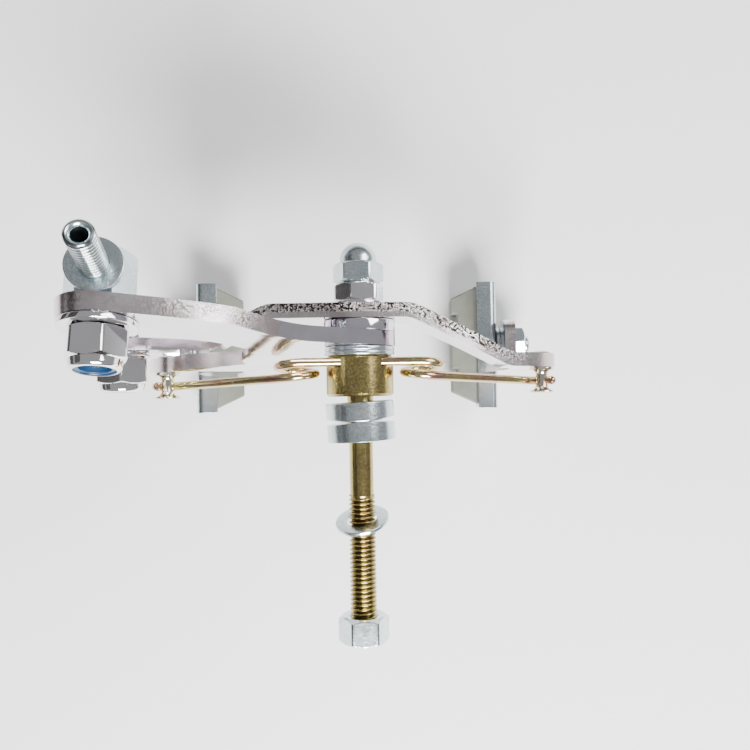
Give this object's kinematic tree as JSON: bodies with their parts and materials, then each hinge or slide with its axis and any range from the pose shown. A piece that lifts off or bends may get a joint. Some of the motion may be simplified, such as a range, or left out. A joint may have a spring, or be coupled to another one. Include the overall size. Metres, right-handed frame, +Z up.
{
  "type": "rim brake caliper",
  "caption": "Side-pull rim brake caliper with crossed steel arms on a centre bolt, return spring, barrel adjuster, cable anchor and rubber brake shoes.",
  "frame": {"origin": "on the centre bolt's axis, in the rear face of its collar", "axes": "+X across the bike, +Y along the bolt towards the acorn nut, +Z up, away from the brake shoes"},
  "size_m": [0.1141, 0.0889, 0.1207],
  "materials": {
    "chrome_steel": "bright chrome plating over pressed steel",
    "zinc": "bright zinc plating, slightly blue",
    "yellow_zinc": "yellow passivated zinc, slightly iridescent",
    "nickel": "bright nickel plating",
    "polished_nut": "polished chrome plating",
    "blue_nylon": "moulded nylon",
    "rubber": "olive-grey moulded brake rubber"
  },
  "bodies": {
    "root": {"pivot_bolt": "yellow_zinc", "acorn_nut": "zinc", "jam_nut": "polished_nut", "front_washer": "zinc", "arm_spacer": "zinc", "rear_washer_a": "zinc", "rear_washer_b": "zinc", "return_spring": "yellow_zinc"},
    "c_arm": {"c_arm": "chrome_steel", "spring_post_right": "nickel"},
    "y_arm": {"y_arm": "chrome_steel", "spring_post_left": "nickel"},
    "adjuster_holder": {"adjuster_stud": "zinc", "stud_washer": "zinc", "stud_lock_nut": "polished_nut", "stud_nylon_ring": "blue_nylon"},
    "adjuster_barrel": {"barrel_adjuster": "zinc"},
    "adjuster_ring": {"adjuster_lock_ring": "zinc"},
    "cable_anchor": {"anchor_bolt": "zinc", "anchor_washer": "zinc", "anchor_nut": "polished_nut", "anchor_nylon_ring": "blue_nylon"},
    "seating_washers": {"seating_washer_front": "zinc", "seating_washer_rear": "zinc"},
    "loose_washer": {"mounting_washer": "zinc"},
    "mounting_nut": {"mounting_nut": "zinc"},
    "shoe_clamp_left": {"shoe_washer_left": "zinc", "shoe_nut_left": "zinc"},
    "shoe_left": {"shoe_holder_left": "zinc", "brake_pad_left": "rubber", "shoe_stud_left": "zinc"},
    "shoe_clamp_right": {"shoe_washer_right": "zinc", "shoe_nut_right": "zinc"},
    "shoe_right": {"shoe_holder_right": "zinc", "brake_pad_right": "rubber", "shoe_stud_right": "zinc"}
  },
  "joints": [
    {"name": "y_arm_pivot", "type": "hinge", "parent": "root", "child": "y_arm", "pos_m": [0, 0.01265, 0], "axis": [0, -1, 0], "range_deg": [0, 7], "stiffness_Nm_per_rad": 1.2, "springref_deg": -25.78, "deforming": ["return_spring"]},
    {"name": "c_arm_pivot", "type": "hinge", "parent": "root", "child": "c_arm", "pos_m": [0, 0.01855, 0], "axis": [0, 1, 0], "range_deg": [0, 7], "stiffness_Nm_per_rad": 1.2, "springref_deg": -25.78},
    {"name": "adjuster_swivel", "type": "hinge", "parent": "y_arm", "child": "adjuster_holder", "pos_m": [-0.048, 0.01553, 0.03], "axis": [0, 0.9744, -0.225], "range_deg": [-10, 10]},
    {"name": "barrel_screw", "type": "slide", "parent": "adjuster_holder", "child": "adjuster_barrel", "axis": [0.1045, 0.2237, 0.969], "range_m": [-0.001, 0.004]},
    {"name": "lock_ring_spin", "type": "hinge", "parent": "adjuster_holder", "child": "adjuster_ring", "pos_m": [-0.04736, 0.02363, 0.03441], "axis": [0.1045, 0.2237, 0.969], "continuous": true},
    {"name": "anchor_swivel", "type": "hinge", "parent": "c_arm", "child": "cable_anchor", "pos_m": [-0.051, 0.012, 0.004], "axis": [0, 1, 0], "range_deg": [-30, 30]},
    {"name": "seating_washer_play", "type": "slide", "parent": "root", "child": "seating_washers", "axis": [0, 1, 0], "range_m": [-0.004, 0.0005]},
    {"name": "mounting_nut_off", "type": "slide", "parent": "root", "child": "mounting_nut", "axis": [0, -1, 0], "range_m": [0, 0.02]},
    {"name": "loose_washer_off", "type": "slide", "parent": "root", "child": "loose_washer", "axis": [0, -1, 0], "range_m": [0, 0.035]},
    {"name": "shoe_height_left", "type": "slide", "parent": "y_arm", "child": "shoe_clamp_left", "axis": [0.1219, 0, 0.9925], "range_m": [-0.0035, 0.0035]},
    {"name": "shoe_toe_left", "type": "hinge", "parent": "shoe_clamp_left", "child": "shoe_left", "pos_m": [-0.0491, 0.015, -0.063], "axis": [-0.9925, 0, 0.1219], "range_deg": [-8, 8]},
    {"name": "shoe_height_right", "type": "slide", "parent": "c_arm", "child": "shoe_clamp_right", "axis": [-0.1219, 0, 0.9925], "range_m": [-0.0035, 0.0035]},
    {"name": "shoe_toe_right", "type": "hinge", "parent": "shoe_clamp_right", "child": "shoe_right", "pos_m": [0.0491, 0.015, -0.063], "axis": [0.9925, 0, 0.1219], "range_deg": [-8, 8]}
  ],
  "couplings": [
    {"joint": "c_arm_pivot", "follows": "y_arm_pivot", "ratio": 1},
    {"joint": "loose_washer_off", "follows": "mounting_nut_off", "ratio": 1.75}
  ]
}
